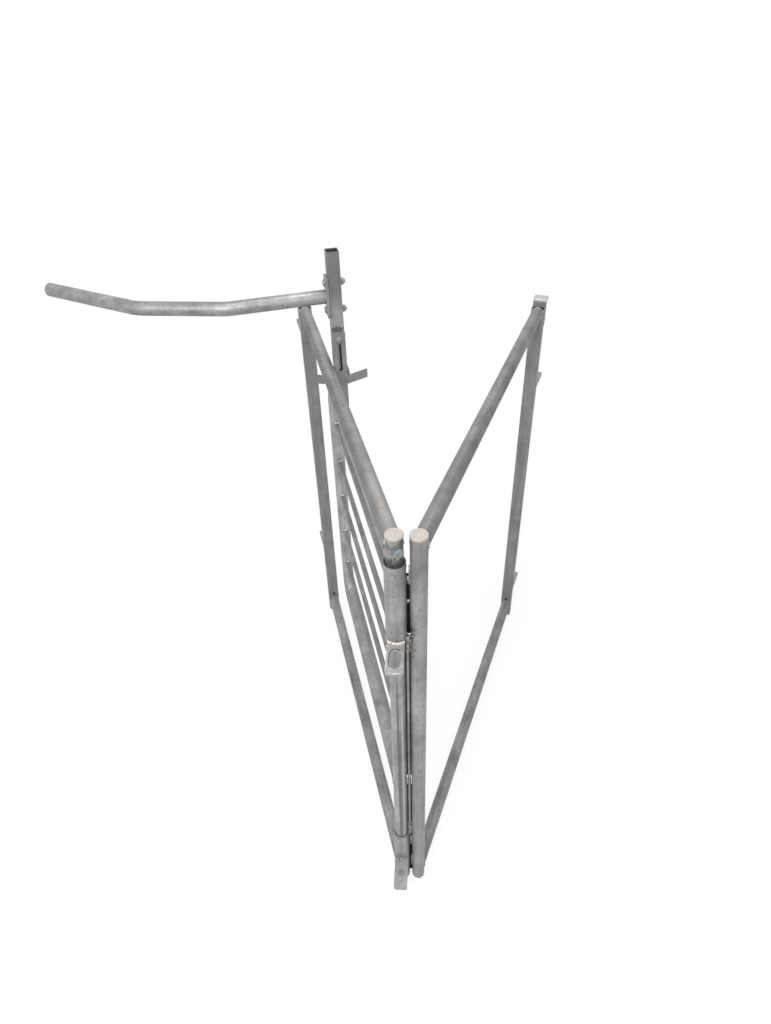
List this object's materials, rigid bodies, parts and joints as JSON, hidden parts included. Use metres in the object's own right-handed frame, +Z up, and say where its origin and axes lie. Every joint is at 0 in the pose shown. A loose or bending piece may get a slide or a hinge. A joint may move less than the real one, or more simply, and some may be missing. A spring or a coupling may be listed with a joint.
{
  "type": "livestock sorting gate",
  "caption": "V-shaped pair of galvanised hurdle frames with a short barred gate that swings between them, moved by a bent tube handle and held by a drop latch",
  "frame": {"origin": "underside of the left foot, on the axis about which the gate swings", "axes": "+Z up, +Y into the V along its middle, away from the closed end, +X to the right-hand frame's post"},
  "size_m": [1.0528, 0.9778, 1.203],
  "materials": {
    "cap_plastic": "pale matt plastic",
    "galvanised_bar": "hot-dip galvanised, dull",
    "galvanised_box": "hot-dip galvanised, dull",
    "galvanised_flat": "hot-dip galvanised, dull, welded edges",
    "galvanised_tube": "hot-dip galvanised, dull, faint spangle",
    "zinc_bolt": "dull zinc-plated steel"
  },
  "bodies": {
    "left_frame": {"left_top_rail": "galvanised_tube", "left_bottom_rail": "galvanised_tube", "left_rear_upright": "galvanised_flat", "left_hook_strip": "galvanised_flat", "left_upper_lug": "galvanised_flat", "left_lower_lug": "galvanised_flat", "left_post_cap": "cap_plastic", "left_pivot_pin": "galvanised_tube", "left_pin_bolt": "zinc_bolt", "left_pivot_cup": "galvanised_tube", "left_foot_plate": "galvanised_flat", "left_upper_plate": "galvanised_flat", "fold_rod": "galvanised_bar", "left_lower_ear": "galvanised_flat"},
    "right_frame": {"right_post": "galvanised_tube", "right_top_rail": "galvanised_tube", "right_bottom_rail": "galvanised_tube", "right_rear_upright": "galvanised_flat", "right_hook_strip": "galvanised_flat", "right_upper_lug": "galvanised_flat", "right_lower_lug": "galvanised_flat", "right_post_cap": "cap_plastic", "right_knuckle_1": "galvanised_flat", "right_knuckle_2": "galvanised_flat", "right_pad_1": "galvanised_flat", "right_pad_2": "galvanised_flat", "right_pad_3": "galvanised_flat"},
    "gate": {"gate_sleeve": "galvanised_tube", "gate_pivot_tube": "galvanised_tube", "gate_top_tube": "galvanised_tube", "gate_rear_tube": "galvanised_flat", "gate_bottom_tube": "galvanised_tube", "gate_bar_1": "galvanised_bar", "gate_bar_2": "galvanised_bar", "gate_bar_3": "galvanised_bar", "gate_bar_4": "galvanised_bar", "gate_bar_5": "galvanised_bar", "gate_square_post": "galvanised_box", "handle_flange": "galvanised_flat", "handle_tube": "galvanised_tube", "handle_bolt_1": "zinc_bolt", "handle_bolt_2": "zinc_bolt", "latch_bolt": "zinc_bolt"},
    "latch": {"latch_plate": "galvanised_flat", "latch_loop": "galvanised_flat"}
  },
  "joints": [
    {"name": "gate_swing", "type": "hinge", "parent": "left_frame", "child": "gate", "pos_m": [0, 0, 0.5], "axis": [0, 0, -1], "range_deg": [0, 31]},
    {"name": "frame_fold", "type": "hinge", "parent": "left_frame", "child": "right_frame", "pos_m": [0.01775, 0, 0.5], "axis": [0, 0, -1], "range_deg": [0, 30]},
    {"name": "latch_lift", "type": "slide", "parent": "gate", "child": "latch", "axis": [0, 0, 1], "range_m": [0, 0.004]}
  ]
}
